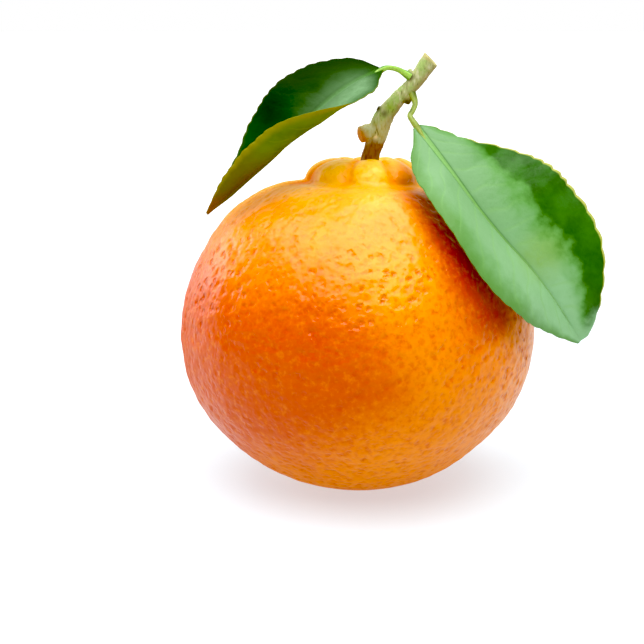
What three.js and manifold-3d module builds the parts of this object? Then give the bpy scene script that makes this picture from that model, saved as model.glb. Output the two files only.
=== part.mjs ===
// Mandarin orange on its twig, with two leaves.
// Millimetres, +Z up, origin at the centre of the small flat spot the fruit rests on.
// The fruit, the calyx, the twig, the two leaf stalks and the two blades are separate solids.
import * as THREE from "three";
import Module from "manifold-3d";

const UP = new THREE.Vector3(0, 0, 1);
const DEGREE = Math.PI / 180;

// Fruit: radius and height of its outline, from the flat spot up into the stem's hollow
const FRUIT_OUTLINE = [
  [7.5, 0.0],
  [11.5, 0.9],
  [16.5, 3.0],
  [21.5, 6.2],
  [26.0, 10.3],
  [29.8, 15.0],
  [32.6, 21.0],
  [33.8, 28.0],
  [33.5, 34.0],
  [31.7, 40.5],
  [28.6, 46.6],
  [25.0, 51.2],
  [21.0, 54.7],
  [17.6, 56.8],
  [14.6, 57.9],
  [12.2, 58.3],
  [11.3, 58.9],
  [10.9, 60.0],
  [10.1, 61.2],
  [8.5, 62.3],
  [6.8, 62.9],
  [5.5, 63.0],
  [4.4, 62.3],
  [3.6, 61.0],
  [2.5, 60.2],
];
const FRUIT_TOP = 60.1;
const FRUIT_SIDES = 64;
const FRUIT_ROWS = 42;

// Neck: the lobed collar round the stem
const LOBE_COUNT = 8;
const LOBE_TURN = 5 * DEGREE;
const WIDE_LOBE_GAIN = 15 * DEGREE;
const WIDE_LOBE_PLACE = -80 * DEGREE;
const WIDE_LOBE_REACH = 40 * DEGREE;
const NECK_SHIFT = 1.8;
const NECK_SLIP = 0.7;
const NECK_NOD = 0.07;
const NECK_FURROW = 0.75;
const NECK_SINK = 0.45;
const FURROW_SHARPNESS = 0.12;
const SHOULDER_FURROW = 0.15;

// Calyx: the small star of sepals at the foot of the stem
const SEPAL_COUNT = 5;
const CALYX_RADIUS = 2.1;
const SEPAL_REACH = 0.6;
const CALYX_FOOT = 60.6;
const CALYX_THICKNESS = 0.7;

// Twig: points of its middle line with the radius at each
const TWIG = [
  [2.0, 0.0, 61.8, 1.85],
  [2.1, 0.0, 62.8, 1.7],
  [2.5, 0.0, 64.5, 1.65],
  [3.1, -0.3, 66.2, 1.75],
  [3.6, -0.5, 68.1, 1.95],
  [4.5, -0.9, 70.6, 1.85],
  [5.9, -1.2, 72.6, 1.55],
  [7.9, -1.6, 74.9, 1.4],
  [9.9, -2.0, 76.9, 1.35],
  [11.5, -2.3, 79.1, 1.5],
  [13.1, -2.6, 81.5, 1.65],
];
const CUT_STUB = [
  [3.6, -0.4, 68.0, 1.6],
  [1.8, -1.0, 67.9, 1.65],
  [0.1, -1.5, 67.5, 1.5],
];
const LEAF_SCAR = [
  [4.9, -1.1, 71.2, 0.9],
  [4.1, -1.3, 72.0, 0.7],
  [3.4, -1.3, 72.5, 0.35],
];
const LEFT_BUD = [
  [10.5, -2.1, 77.8, 1.2],
  [9.4, -2.4, 78.5, 0.95],
  [9.2, -2.4, 79.7, 0.3],
];
const RIGHT_BUD = [
  [8.5, -1.7, 75.2, 1.1],
  [9.0, -2.2, 74.4, 0.9],
  [8.8, -2.6, 73.3, 0.4],
];
const CUT_SLANT = 0.3;
const TWIG_SIDES = 14;
const TWIG_ROWS = 36;
const BUD_SIDES = 10;
const BUD_ROWS = 5;

// Leaf stalks: points of the middle line with the radius at each
const LEFT_STALK = [
  [8.0, -2.8, 79.15, 0.6],
  [7.4, -3.0, 79.5, 0.55],
  [6.3, -3.5, 79.9, 0.5],
  [5.0, -4.0, 80.05, 0.5],
  [4.25, -4.35, 79.85, 0.6],
];
const RIGHT_STALK = [
  [10.2, -3.15, 73.95, 0.55],
  [10.25, -3.6, 73.3, 0.5],
  [9.7, -4.9, 72.2, 0.5],
  [9.2, -5.8, 71.4, 0.5],
  [9.7, -6.5, 70.5, 0.55],
  [10.3, -6.85, 69.75, 0.65],
];
const STALK_SIDES = 8;
const STALK_ROWS = 12;

// Leaves: points of the midrib, then the blade's form at stations along it.
// right and left are the widths of the halves seen from the base, roll turns the blade about
// its midrib, fold raises both halves in degrees, and the bellies bow each half up or down.
const LEFT_LEAF = {
  midrib: [
    [3.9, -4.5, 79.7],
    [0.0, -6.0, 78.1],
    [-4.4, -7.5, 75.5],
    [-8.3, -8.1, 72.2],
    [-12.35, -8.1, 68.15],
    [-16.35, -7.6, 64.15],
    [-20.75, -7.1, 60.25],
    [-24.8, -7.05, 56.6],
    [-28.2, -8.0, 53.5],
  ],
  stations: [
    { at: 0, right: 0.7, left: 0.7, roll: 23, fold: 6, rightBelly: 0, leftBelly: 0 },
    { at: 0.04, right: 4.6, left: 2.6, roll: 23, fold: 6, rightBelly: 0, leftBelly: 0 },
    { at: 0.1, right: 7.1, left: 5.6, roll: 24, fold: 6, rightBelly: 0.1, leftBelly: 0 },
    { at: 0.16, right: 8.6, left: 7.0, roll: 22.5, fold: 8.8, rightBelly: 0.2, leftBelly: -0.2 },
    { at: 0.23, right: 9.7, left: 8.2, roll: 23.2, fold: 13.7, rightBelly: 0.3, leftBelly: -0.8 },
    { at: 0.35, right: 10.6, left: 8.5, roll: 18.7, fold: 27.5, rightBelly: 0.3, leftBelly: -2.2 },
    { at: 0.47, right: 10.0, left: 7.5, roll: 15.2, fold: 40.2, rightBelly: 0.2, leftBelly: -2.4 },
    { at: 0.59, right: 8.9, left: 6.6, roll: 13.4, fold: 45.8, rightBelly: 0, leftBelly: -2.1 },
    { at: 0.67, right: 7.6, left: 6.0, roll: 8.1, fold: 48.5, rightBelly: 0, leftBelly: -1.7 },
    { at: 0.75, right: 5.6, left: 5.0, roll: 0.9, fold: 46.8, rightBelly: 0, leftBelly: -1.3 },
    { at: 0.88, right: 3.3, left: 3.4, roll: -5.9, fold: 42.1, rightBelly: 0, leftBelly: -0.6 },
    { at: 0.94, right: 1.8, left: 2.2, roll: -11, fold: 40.3, rightBelly: 0, leftBelly: 0 },
    { at: 1, right: 0.4, left: 0.4, roll: -14, fold: 38, rightBelly: 0, leftBelly: 0 },
  ],
  teeth: 20,
  rightTooth: 0.28,
  leftTooth: 0.28,
  waves: 2.5,
};
const RIGHT_LEAF = {
  midrib: [
    [10.4, -7.0, 69.5],
    [13.6, -9.5, 65.5],
    [17.1, -12.0, 60.9],
    [21.2, -14.0, 55.4],
    [25.8, -15.0, 50.0],
    [30.8, -15.0, 44.7],
    [35.3, -14.2, 39.0],
    [38.7, -13.2, 34.0],
    [41.1, -12.2, 30.6],
  ],
  stations: [
    { at: 0, right: 0.8, left: 0.8, roll: -38, fold: 2, rightBelly: 0, leftBelly: 0 },
    { at: 0.04, right: 2.2, left: 2.7, roll: -38, fold: 2, rightBelly: 0, leftBelly: 0 },
    { at: 0.1, right: 5.0, left: 4.6, roll: -37, fold: 3, rightBelly: 0.2, leftBelly: 0 },
    { at: 0.16, right: 6.5, left: 7.4, roll: -33, fold: 4, rightBelly: 0.3, leftBelly: 0.2 },
    { at: 0.22, right: 7.7, left: 11.5, roll: -28, fold: 6, rightBelly: 0.5, leftBelly: 0.5 },
    { at: 0.28, right: 8.7, left: 14.6, roll: -28, fold: 8, rightBelly: 0.6, leftBelly: 0.8 },
    { at: 0.34, right: 9.5, left: 16.5, roll: -31, fold: 10, rightBelly: 0.8, leftBelly: 1.1 },
    { at: 0.47, right: 11.0, left: 17.8, roll: -40, fold: 12, rightBelly: 1, leftBelly: 1.4 },
    { at: 0.61, right: 11.5, left: 17.2, roll: -52, fold: 12, rightBelly: 0.9, leftBelly: 1.3 },
    { at: 0.75, right: 9.3, left: 14.3, roll: -66, fold: 14, rightBelly: 0.5, leftBelly: 0.9 },
    { at: 0.82, right: 7.0, left: 11.2, roll: -75, fold: 15, rightBelly: 0.3, leftBelly: 0.6 },
    { at: 0.88, right: 4.9, left: 8.2, roll: -84, fold: 16, rightBelly: 0.2, leftBelly: 0.4 },
    { at: 0.94, right: 2.9, left: 5.4, roll: -92, fold: 16, rightBelly: 0, leftBelly: 0.2 },
    { at: 1, right: 1.0, left: 1.6, roll: -96, fold: 16, rightBelly: 0, leftBelly: 0 },
  ],
  teeth: 18,
  rightTooth: 0.2,
  leftTooth: 0.42,
  waves: 3,
};
const BLADE_THICKNESS = 0.65;
const RIB_HEIGHT = 0.5;
const RIB_SINK = 0.12;
const WAVE_HEIGHT = 0.25;
const TOOTH_FORM = [0, 0.75, 1];
const HALF_COLUMNS = [0, 0.12, 0.36, 0.66, 1];

const wasm = await Module();
wasm.setup();

// A smooth step from 0 to 1 between two heights
function rise(value, from, to) {
  return THREE.MathUtils.smoothstep(value, from, to);
}

// A closed surface from rings stacked along an axis, with a pole at each end
function closedSurface(rings, firstPole, lastPole) {
  const sides = rings[0].length;
  const points = [firstPole, ...rings.flat(), lastPole];
  const last = points.length - 1;
  const index = [];
  for (let j = 0; j < sides; j++) {
    const next = (j + 1) % sides;
    index.push(0, 1 + next, 1 + j);
    for (let i = 0; i < rings.length - 1; i++) {
      const a = 1 + i * sides + j;
      const b = 1 + i * sides + next;
      index.push(a, b, b + sides, a, b + sides, a + sides);
    }
    index.push(1 + (rings.length - 1) * sides + j, 1 + (rings.length - 1) * sides + next, last);
  }
  return surface(points, index);
}

function surface(points, index) {
  const geometry = new THREE.BufferGeometry();
  geometry.setAttribute("position", new THREE.Float32BufferAttribute(points.flatMap((p) => p.toArray()), 3));
  geometry.setIndex(index);
  geometry.computeVertexNormals();
  return geometry;
}

// A round limb swept along points that each carry a radius
function limb(stations, sides, rows, slant = 0) {
  const line = new THREE.CatmullRomCurve3(stations.map((s) => new THREE.Vector3(s[0], s[1], s[2])), false, "centripetal");
  const girth = new THREE.CatmullRomCurve3(stations.map((s, i) => new THREE.Vector3(i, s[3], 0)), false, "catmullrom");
  const frames = line.computeFrenetFrames(rows, false);
  const rings = [];
  for (let i = 0; i <= rows; i++) {
    const t = line.getUtoTmapping(i / rows);
    const centre = line.getPoint(t);
    const radius = girth.getPoint(t).y;
    const lean = i === rows ? slant : 0;
    const ring = [];
    for (let j = 0; j < sides; j++) {
      const angle = (2 * Math.PI * j) / sides;
      const spoke = new THREE.Vector3()
        .addScaledVector(frames.normals[i], Math.cos(angle))
        .addScaledVector(frames.binormals[i], Math.sin(angle));
      const point = centre.clone().addScaledVector(spoke, radius);
      ring.push(point.addScaledVector(frames.tangents[i], -lean * radius * spoke.x));
    }
    rings.push(ring);
  }
  return closedSurface(rings, line.getPoint(0), line.getPoint(1));
}

// Solids joined into one closed body
function joined(geometries) {
  const solids = geometries.map((geometry) => {
    const vertProperties = new Float32Array(geometry.getAttribute("position").array);
    const triVerts = new Uint32Array(geometry.getIndex().array);
    return new wasm.Manifold(new wasm.Mesh({ numProp: 3, vertProperties, triVerts }));
  });
  const whole = solids.reduce((sum, solid) => sum.add(solid)).getMesh();
  const geometry = new THREE.BufferGeometry();
  geometry.setAttribute("position", new THREE.Float32BufferAttribute(whole.vertProperties, 3));
  geometry.setIndex(Array.from(whole.triVerts));
  geometry.computeVertexNormals();
  return geometry;
}

// The rind's place at an angle from the front and a point of the outline: lobes, furrows, lean
function rindPoint(angle, radius, height) {
  const onBody = rise(height, 0.5, 12);
  const onShoulder = rise(height, 40, 53);
  const onNeck = rise(height, 57.9, 59.6) * rise(radius, 2.4, 5);
  const swell = 0.3 * Math.cos(2 * angle + 2.5) + 0.3 * Math.cos(3 * angle - 1.1) + 0.2 * Math.cos(5 * angle - 2);
  const widening = WIDE_LOBE_GAIN * Math.exp(-(((angle - WIDE_LOBE_PLACE) / WIDE_LOBE_REACH) ** 2));
  const crest = Math.cos((LOBE_COUNT / 2) * (angle - LOBE_TURN + widening)) ** 2;
  const dip = 0.5 * Math.exp(-crest / FURROW_SHARPNESS) + 0.5 * (1 - crest);
  const furrow = dip * (NECK_FURROW * onNeck + SHOULDER_FURROW * onShoulder * (1 - onNeck) * rise(radius, 5, 12));
  const crease = 0.5 * Math.exp(-(((angle - 25 * DEGREE) / (5 * DEGREE)) ** 2)) * rise(height, 24, 36) * (1 - onNeck);
  const reach = radius + swell * onBody * (1 - 0.6 * onShoulder) - furrow - crease;
  const across = reach * Math.sin(angle);
  const tilt = -0.035 * across * rise(height, 42, 54) * (1 - onNeck);
  const sink = NECK_SINK * dip * onNeck;
  const nod = NECK_NOD * reach * Math.cos(angle) * rise(height, 55, 59) * rise(radius, 2.4, 5);
  const lean = rise(height, 50, 60) * (NECK_SHIFT - NECK_SLIP * rise(radius, 4, 9));
  return new THREE.Vector3(across + lean, -reach * Math.cos(angle), height + tilt + nod - sink);
}

function fruitGeometry() {
  const outline = new THREE.CatmullRomCurve3(FRUIT_OUTLINE.map(([r, z]) => new THREE.Vector3(r, 0, z)), false, "centripetal");
  const rings = [];
  for (let i = 0; i <= FRUIT_ROWS; i++) {
    const place = outline.getPoint(i / FRUIT_ROWS);
    const ring = [];
    for (let j = 0; j < FRUIT_SIDES; j++) {
      const angle = ((j / FRUIT_SIDES) * 2 - 1) * Math.PI;
      ring.push(rindPoint(angle, place.x, Math.max(place.z, 0)));
    }
    rings.push(ring);
  }
  return closedSurface(rings, new THREE.Vector3(0, 0, 0), new THREE.Vector3(NECK_SHIFT, 0, FRUIT_TOP));
}

function calyxGeometry() {
  const layers = [
    [0.7, 0],
    [1, 0.3],
    [1, 0.7],
    [0.7, 1],
  ];
  const sides = 30;
  const rings = layers.map(([spread, level]) => {
    const ring = [];
    for (let j = 0; j < sides; j++) {
      const angle = (2 * Math.PI * j) / sides;
      const reach = spread * (CALYX_RADIUS + SEPAL_REACH * Math.cos(SEPAL_COUNT * angle));
      const z = CALYX_FOOT + level * CALYX_THICKNESS;
      ring.push(new THREE.Vector3(NECK_SHIFT + reach * Math.cos(angle), reach * Math.sin(angle), z));
    }
    return ring;
  });
  const foot = new THREE.Vector3(NECK_SHIFT, 0, CALYX_FOOT);
  const top = new THREE.Vector3(NECK_SHIFT, 0, CALYX_FOOT + CALYX_THICKNESS);
  return closedSurface(rings, foot, top);
}

// The value that the stations of a leaf give at a place along its midrib
function stationValue(stations, key, at) {
  const places = stations.map((station) => station.at);
  const values = stations.map((station) => station[key]);
  return new THREE.CubicInterpolant(places, values, 1, new Float64Array(1)).evaluate(at)[0];
}

// One point of a blade's middle surface; side is +1 for the right half, -1 for the left
function bladePoint(leaf, line, row, rows, side, across) {
  const at = row / rows;
  const value = (key) => stationValue(leaf.stations, key, at);
  const forward = line.getTangentAt(at);
  const flat = new THREE.Vector3().crossVectors(forward, UP).normalize();
  const above = new THREE.Vector3().crossVectors(flat, forward);
  const lift = (value("fold") + side * value("roll")) * DEGREE;
  const outward = flat.clone().multiplyScalar(side * Math.cos(lift)).addScaledVector(above, Math.sin(lift));
  const upper = flat.clone().multiplyScalar(-side * Math.sin(lift)).addScaledVector(above, Math.cos(lift));
  const width = value(side > 0 ? "right" : "left");
  const belly = value(side > 0 ? "rightBelly" : "leftBelly");
  const bite = (side > 0 ? leaf.rightTooth : leaf.leftTooth) * TOOTH_FORM[row % TOOTH_FORM.length];
  const tooth = row < rows ? bite * Math.min(1, width / 4) : 0;
  const wave = WAVE_HEIGHT * Math.sin(2 * Math.PI * leaf.waves * at + side) * Math.sin(Math.PI * at);
  return line
    .getPointAt(at)
    .addScaledVector(outward, width * across + tooth * across ** 8)
    .addScaledVector(upper, belly * 4 * across * (1 - across) + wave * across ** 2);
}

// A leaf blade: the middle surface thickened both ways, with a midrib ridge below
function leafGeometry(leaf) {
  const line = new THREE.CatmullRomCurve3(leaf.midrib.map((p) => new THREE.Vector3(...p)), false, "centripetal");
  const rows = leaf.teeth * TOOTH_FORM.length;
  const half = HALF_COLUMNS.length - 1;
  const columns = 2 * half;
  const middle = [];
  for (let i = 0; i <= rows; i++) {
    for (let j = -half; j <= half; j++) {
      middle.push(bladePoint(leaf, line, i, rows, j < 0 ? -1 : 1, HALF_COLUMNS[Math.abs(j)]));
    }
  }
  const at = (i, j) => middle[Math.min(Math.max(i, 0), rows) * (columns + 1) + Math.min(Math.max(j, 0), columns)];
  const upperFace = [];
  const lowerFace = [];
  for (let i = 0; i <= rows; i++) {
    for (let j = 0; j <= columns; j++) {
      const forward = at(i + 1, j).clone().sub(at(i - 1, j));
      const rightward = at(i, j + 1).clone().sub(at(i, j - 1));
      const normal = rightward.cross(forward).normalize();
      const onRib = j === half ? 1 - i / rows : 0;
      const up = BLADE_THICKNESS / 2 - RIB_SINK * onRib;
      const down = BLADE_THICKNESS / 2 + RIB_HEIGHT * onRib;
      upperFace.push(at(i, j).clone().addScaledVector(normal, up));
      lowerFace.push(at(i, j).clone().addScaledVector(normal, -down));
    }
  }
  const under = upperFace.length;
  const index = [];
  const quad = (a, b, c, d) => index.push(a, b, c, a, c, d);
  for (let i = 0; i < rows; i++) {
    for (let j = 0; j < columns; j++) {
      const a = i * (columns + 1) + j;
      const b = a + 1;
      const c = b + columns + 1;
      const d = a + columns + 1;
      quad(a, b, c, d);
      index.push(under + a, under + c, under + b, under + a, under + d, under + c);
    }
    const left = i * (columns + 1);
    const right = left + columns;
    quad(left, left + columns + 1, under + left + columns + 1, under + left);
    quad(right, under + right, under + right + columns + 1, right + columns + 1);
  }
  for (let j = 0; j < columns; j++) {
    const tip = rows * (columns + 1) + j;
    quad(j, under + j, under + j + 1, j + 1);
    quad(tip, tip + 1, under + tip + 1, under + tip);
  }
  return surface([...upperFace, ...lowerFace], index);
}

function twigGeometry() {
  return joined([
    limb(TWIG, TWIG_SIDES, TWIG_ROWS, CUT_SLANT),
    limb(CUT_STUB, TWIG_SIDES - 2, BUD_ROWS + 2),
    limb(LEAF_SCAR, BUD_SIDES, BUD_ROWS),
    limb(LEFT_BUD, BUD_SIDES, BUD_ROWS + 2),
    limb(RIGHT_BUD, BUD_SIDES, BUD_ROWS),
  ]);
}

const part = new THREE.Group();
part.name = "mandarin_orange";

function addSolid(name, geometry, colour, roughness) {
  const material = new THREE.MeshStandardMaterial({ color: colour, roughness, metalness: 0 });
  material.name = name;
  const mesh = new THREE.Mesh(geometry, material);
  mesh.name = name;
  part.add(mesh);
}

addSolid("fruit", fruitGeometry(), 0xf58508, 0.45);
addSolid("calyx", calyxGeometry(), 0x6f7a2c, 0.7);
addSolid("twig", twigGeometry(), 0x8c8a55, 0.8);
addSolid("left_petiole", limb(LEFT_STALK, STALK_SIDES, STALK_ROWS), 0x8fb52e, 0.5);
addSolid("right_petiole", limb(RIGHT_STALK, STALK_SIDES, STALK_ROWS), 0x9bb23c, 0.5);
addSolid("left_leaf", leafGeometry(LEFT_LEAF), 0x235c12, 0.4);
addSolid("right_leaf", leafGeometry(RIGHT_LEAF), 0x3f8a2c, 0.4);

export default part;
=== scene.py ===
import math

import bpy
import numpy as np
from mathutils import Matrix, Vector


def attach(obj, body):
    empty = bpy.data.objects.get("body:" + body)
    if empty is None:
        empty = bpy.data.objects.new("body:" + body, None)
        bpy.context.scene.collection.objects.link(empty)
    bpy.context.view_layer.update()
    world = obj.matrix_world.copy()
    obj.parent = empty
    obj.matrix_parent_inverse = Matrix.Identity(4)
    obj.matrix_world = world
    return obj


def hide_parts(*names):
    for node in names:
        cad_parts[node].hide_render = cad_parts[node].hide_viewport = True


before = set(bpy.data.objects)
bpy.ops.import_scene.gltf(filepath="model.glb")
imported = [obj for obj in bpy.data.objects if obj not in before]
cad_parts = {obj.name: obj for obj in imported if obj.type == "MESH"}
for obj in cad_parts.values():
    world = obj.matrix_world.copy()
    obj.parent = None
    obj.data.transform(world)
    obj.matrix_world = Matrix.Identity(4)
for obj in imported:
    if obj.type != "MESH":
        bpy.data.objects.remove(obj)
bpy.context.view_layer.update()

# Rind
# The peel of a mandarin with a neck: thin, waxy and glossy, full of oil glands that show as pits.
# It grew as one skin, drawn into eight lobes round the hollow where the stalk enters.
MM = 0.001
RIND_OUTLINE = [
    (7.5, 0.0),
    (11.5, 0.9),
    (16.5, 3.0),
    (21.5, 6.2),
    (26.0, 10.3),
    (29.8, 15.0),
    (32.6, 21.0),
    (33.8, 28.0),
    (33.5, 34.0),
    (31.7, 40.5),
    (28.6, 46.6),
    (25.0, 51.2),
    (21.0, 54.7),
    (17.6, 56.8),
    (14.6, 57.9),
    (12.2, 58.3),
    (11.3, 58.9),
    (10.9, 60.0),
    (10.1, 61.2),
    (8.5, 62.3),
    (6.8, 62.9),
    (5.5, 63.0),
    (4.4, 62.3),
    (3.6, 61.0),
    (2.5, 60.2),
]
RIND_SIDES = 440
RIND_RINGS = 218
HOLLOW_FLOOR = 60.1
LOBE_COUNT = 8
LOBE_TURN = math.radians(5)
WIDE_LOBE_GAIN = math.radians(15)
WIDE_LOBE_PLACE = math.radians(-80)
WIDE_LOBE_REACH = math.radians(40)
NECK_SHIFT = 1.8
NECK_SLIP = 0.7
NECK_NOD = 0.07
NECK_FURROW = 0.75
NECK_SINK = 0.45
FURROW_SHARPNESS = 0.12
SHOULDER_FURROW = 0.15
CREASE_DROP = (math.radians(19), math.radians(33))
CREASE_RETURN = (math.radians(45), math.radians(75))
CREASE_DEPTH = 0.9

DEEP_ORANGE = (202, 76, 0)
BODY_ORANGE = (220, 108, 0)
BULGE_ORANGE = (236, 134, 0)
TOP_ORANGE = (240, 148, 28)
CROWN_YELLOW = (250, 176, 48)
LOW_YELLOW_AND_BOUNCE = (232, 130, 0)
LOBE_YELLOW = (255, 198, 60)
NECK_SHADE_RED = (226, 92, 0)
NECK_LIT_ORANGE = (255, 176, 40)
LEAF_SHADOW_RED = (176, 36, 0)
FURROW_SHADE_ORANGE = (250, 162, 14)
PORE_RED = (196, 60, 0)

LEAF_SHADOW_SPOTS = (
    ((11, -14, 57.5), 8),
    ((13.5, -18, 53), 7),
    ((16, -21, 49), 8),
    ((19, -23.5, 44.5), 8),
    ((23, -23.5, 37.5), 7),
    ((26, -20.5, 37), 6),
)
NECK_SHADE_SPOTS = (((-10, -4, 60), 6), ((9.3, -8, 61.6), 6))
LEFT_LOBE_LIT_SPOT = (-6, -8, 61)
HIGHLIGHT_SPOT = (5, -29, 45)
# a place, its reach and its strength
COARSE_SPOTS = (((-27, -14, 44), 17, 1.0), ((3, -28, 44), 13, 1.0), ((30, -15, 26), 18, 0.5))
DULL_SPOTS = (
    ((-11, -3, 60.5), 7, 0.5),
    ((-19, 6, 53), 17, 0.4),
    ((-38, -4, 28), 22, 0.4),
    ((27, -19, 37), 9, 0.4),
)
GLAND_SPACING = 1.2
PIT_SPACING = 1.9
PIT_WAVER = 0.9


def rise(value, start, end):
    """A smooth step from 0 at start to 1 at end."""
    part = np.clip((value - start) / (end - start), 0, 1)
    return part * part * (3 - 2 * part)


def through(points, places):
    """Points on a smooth line through the given ones, at places that count them from 0."""
    points = np.asarray(points, float)
    line = np.vstack([2 * points[0] - points[1], points, 2 * points[-1] - points[-2]])
    first = np.clip(np.floor(places).astype(int), 0, len(points) - 2)
    part = (places - first)[:, None]
    a, b, c, d = (line[first + step] for step in range(4))
    ab, bc, cd = (np.sqrt(np.linalg.norm(v - u, axis=1))[:, None] for u, v in ((a, b), (b, c), (c, d)))
    leave = ((b - a) / ab - (c - a) / (ab + bc) + (c - b) / bc) * bc
    arrive = ((c - b) / bc - (d - b) / (bc + cd) + (d - c) / cd) * bc
    square = 3 * (c - b) - 2 * leave - arrive
    cube = 2 * (b - c) + leave + arrive
    return b + leave * part + square * part**2 + cube * part**3


def evenly(points, count):
    """Places along the smooth line that are the same distance apart."""
    fine = np.linspace(0, len(points) - 1, 2000)
    steps = np.linalg.norm(np.diff(through(points, fine), axis=0), axis=1)
    length = np.concatenate([[0], np.cumsum(steps)])
    return np.interp(np.linspace(0, length[-1], count), length, fine)


def ring_faces(rings, sides):
    """Faces of a closed form: a first pole, rings stacked along an axis, a last pole."""
    j = np.arange(sides)
    after = (j + 1) % sides
    last = 1 + rings * sides
    faces = [(0, 1 + b, 1 + a) for a, b in zip(j, after)]
    for i in range(rings - 1):
        low = 1 + i * sides
        faces += [(low + a, low + b, low + b + sides, low + a + sides) for a, b in zip(j, after)]
    top = 1 + (rings - 1) * sides
    faces += [(top + a, top + b, last) for a, b in zip(j, after)]
    return faces


def new_piece(name, points, faces, marks=None):
    """A smooth mesh object from points in millimetres, with a value at each point for each mark."""
    mesh = bpy.data.meshes.new(name)
    mesh.from_pydata((np.asarray(points) * MM).tolist(), [], faces)
    mesh.shade_smooth()
    for mark, values in (marks or {}).items():
        layer = mesh.attributes.new(mark, "FLOAT", "POINT")
        layer.data.foreach_set("value", np.asarray(values, np.float32))
    mesh.update()
    piece = bpy.data.objects.new(name, mesh)
    bpy.context.scene.collection.objects.link(piece)
    return piece


def rind_point(angle, radius, height):
    """The rind's place at an angle from the front, and how deep it is in a furrow of the neck."""
    on_body = rise(height, 0.5, 12)
    on_shoulder = rise(height, 40, 53)
    on_neck = rise(height, 57.9, 59.6) * rise(radius, 2.4, 5)
    swell = 0.3 * np.cos(2 * angle + 2.5) + 0.3 * np.cos(3 * angle - 1.1) + 0.2 * np.cos(5 * angle - 2)
    widening = WIDE_LOBE_GAIN * np.exp(-(((angle - WIDE_LOBE_PLACE) / WIDE_LOBE_REACH) ** 2))
    crest = np.cos(LOBE_COUNT / 2 * (angle - LOBE_TURN + widening)) ** 2
    dip = 0.5 * np.exp(-crest / FURROW_SHARPNESS) + 0.5 * (1 - crest)
    below_neck = on_shoulder * (1 - on_neck) * rise(radius, 5, 12)
    furrow = dip * (NECK_FURROW * on_neck + SHOULDER_FURROW * below_neck)
    crease = CREASE_DEPTH * rise(angle, *CREASE_DROP) * (1 - rise(angle, *CREASE_RETURN))
    crease = crease * rise(height, 24, 36) * (1 - on_neck)
    reach = radius + swell * on_body * (1 - 0.6 * on_shoulder) - furrow - crease
    across = reach * np.sin(angle)
    tilt = -0.035 * across * rise(height, 42, 54) * (1 - on_neck)
    nod = NECK_NOD * reach * np.cos(angle) * rise(height, 55, 59) * rise(radius, 2.4, 5)
    lean = rise(height, 50, 60) * (NECK_SHIFT - NECK_SLIP * rise(radius, 4, 9))
    sink = NECK_SINK * dip * on_neck
    place = np.stack([across + lean, -reach * np.cos(angle), height + tilt + nod - sink], -1)
    return place, dip * (on_neck + 0.5 * below_neck)


outline = through(RIND_OUTLINE, evenly(RIND_OUTLINE, RIND_RINGS))
turn = (np.arange(RIND_SIDES) / RIND_SIDES * 2 - 1) * math.pi
rind_grid, rind_dip = rind_point(turn[None, :], outline[:, :1], np.maximum(outline[:, 1:], 0))
rind_points = np.vstack([[(0, 0, 0)], rind_grid.reshape(-1, 3), [(NECK_SHIFT, 0, HOLLOW_FLOOR)]])
rind_furrow = np.concatenate([[0], rind_dip.ravel(), [0]])
rind = new_piece("rind", rind_points, ring_faces(RIND_RINGS, RIND_SIDES), {"furrow": rind_furrow})


class Wire:
    """A node's output that takes part in Python arithmetic: each operation adds a Math node."""

    def __init__(self, socket):
        self.socket = socket
        self.tree = socket.id_data

    @staticmethod
    def pick(sockets, key):
        """A socket by its number, or the one of that name that the node's settings use."""
        if isinstance(key, int):
            return sockets[key]
        return next(socket for socket in sockets if socket.name == key and socket.enabled)

    @staticmethod
    def node(tree, kind, settings, values, out=0):
        """Any node: its type, its settings, then the values or links of its sockets."""
        made = tree.nodes.new(kind)
        for name, value in settings.items():
            setattr(made, name, value)
        for key, value in values.items():
            socket = Wire.pick(made.inputs, key)
            if isinstance(value, Wire):
                tree.links.new(value.socket, socket)
            else:
                socket.default_value = value
        return Wire(Wire.pick(made.outputs, out)) if made.outputs else made

    def out(self, name):
        return Wire(Wire.pick(self.socket.node.outputs, name))

    def math(self, operation, *values):
        return Wire.node(self.tree, "ShaderNodeMath", {"operation": operation}, dict(enumerate(values)))

    def __add__(self, other):
        return self.math("ADD", self, other)

    def __radd__(self, other):
        return self.math("ADD", other, self)

    def __sub__(self, other):
        return self.math("SUBTRACT", self, other)

    def __rsub__(self, other):
        return self.math("SUBTRACT", other, self)

    def __mul__(self, other):
        return self.math("MULTIPLY", self, other)

    def __rmul__(self, other):
        return self.math("MULTIPLY", other, self)

    def __truediv__(self, other):
        return self.math("DIVIDE", self, other)

    def __rtruediv__(self, other):
        return self.math("DIVIDE", other, self)

    def __pow__(self, other):
        return self.math("POWER", self, other)

    def __abs__(self):
        return self.math("ABSOLUTE", self)

    def ramp(self, start, end):
        """A smooth step from 0 where this is start to 1 where it is end."""
        bounds = {"Value": self, "From Min": start, "From Max": end}
        return Wire.node(self.tree, "ShaderNodeMapRange", {"interpolation_type": "SMOOTHSTEP"}, bounds)

    def vector(self, operation, other, out=0):
        values = {0: self, 1: other}
        return Wire.node(self.tree, "ShaderNodeVectorMath", {"operation": operation}, values, out)

    def scaled(self, amount):
        values = {0: self, "Scale": amount}
        return Wire.node(self.tree, "ShaderNodeVectorMath", {"operation": "SCALE"}, values)

    def noise(self, size, detail=2.0, roughness=0.5):
        """Noise from 0 to 1 at this place, with lumps of about that size."""
        values = {"Vector": self, "Scale": 1 / size, "Detail": detail, "Roughness": roughness}
        return Wire.node(self.tree, "ShaderNodeTexNoise", {}, values)

    def near(self, spot, reach):
        """1 at a spot given in millimetres, fading to 0 at its reach."""
        return self.vector("DISTANCE", [value * MM for value in spot], out="Value").ramp(reach * MM, 0)


def paint(colour):
    """A colour as a picture shows it, from 0 to 255, as the light that it reflects."""
    part = np.array(colour) / 255
    light = np.where(part > 0.04045, ((part + 0.055) / 1.055) ** 2.4, part / 12.92)
    return (*light.tolist(), 1.0)


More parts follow.
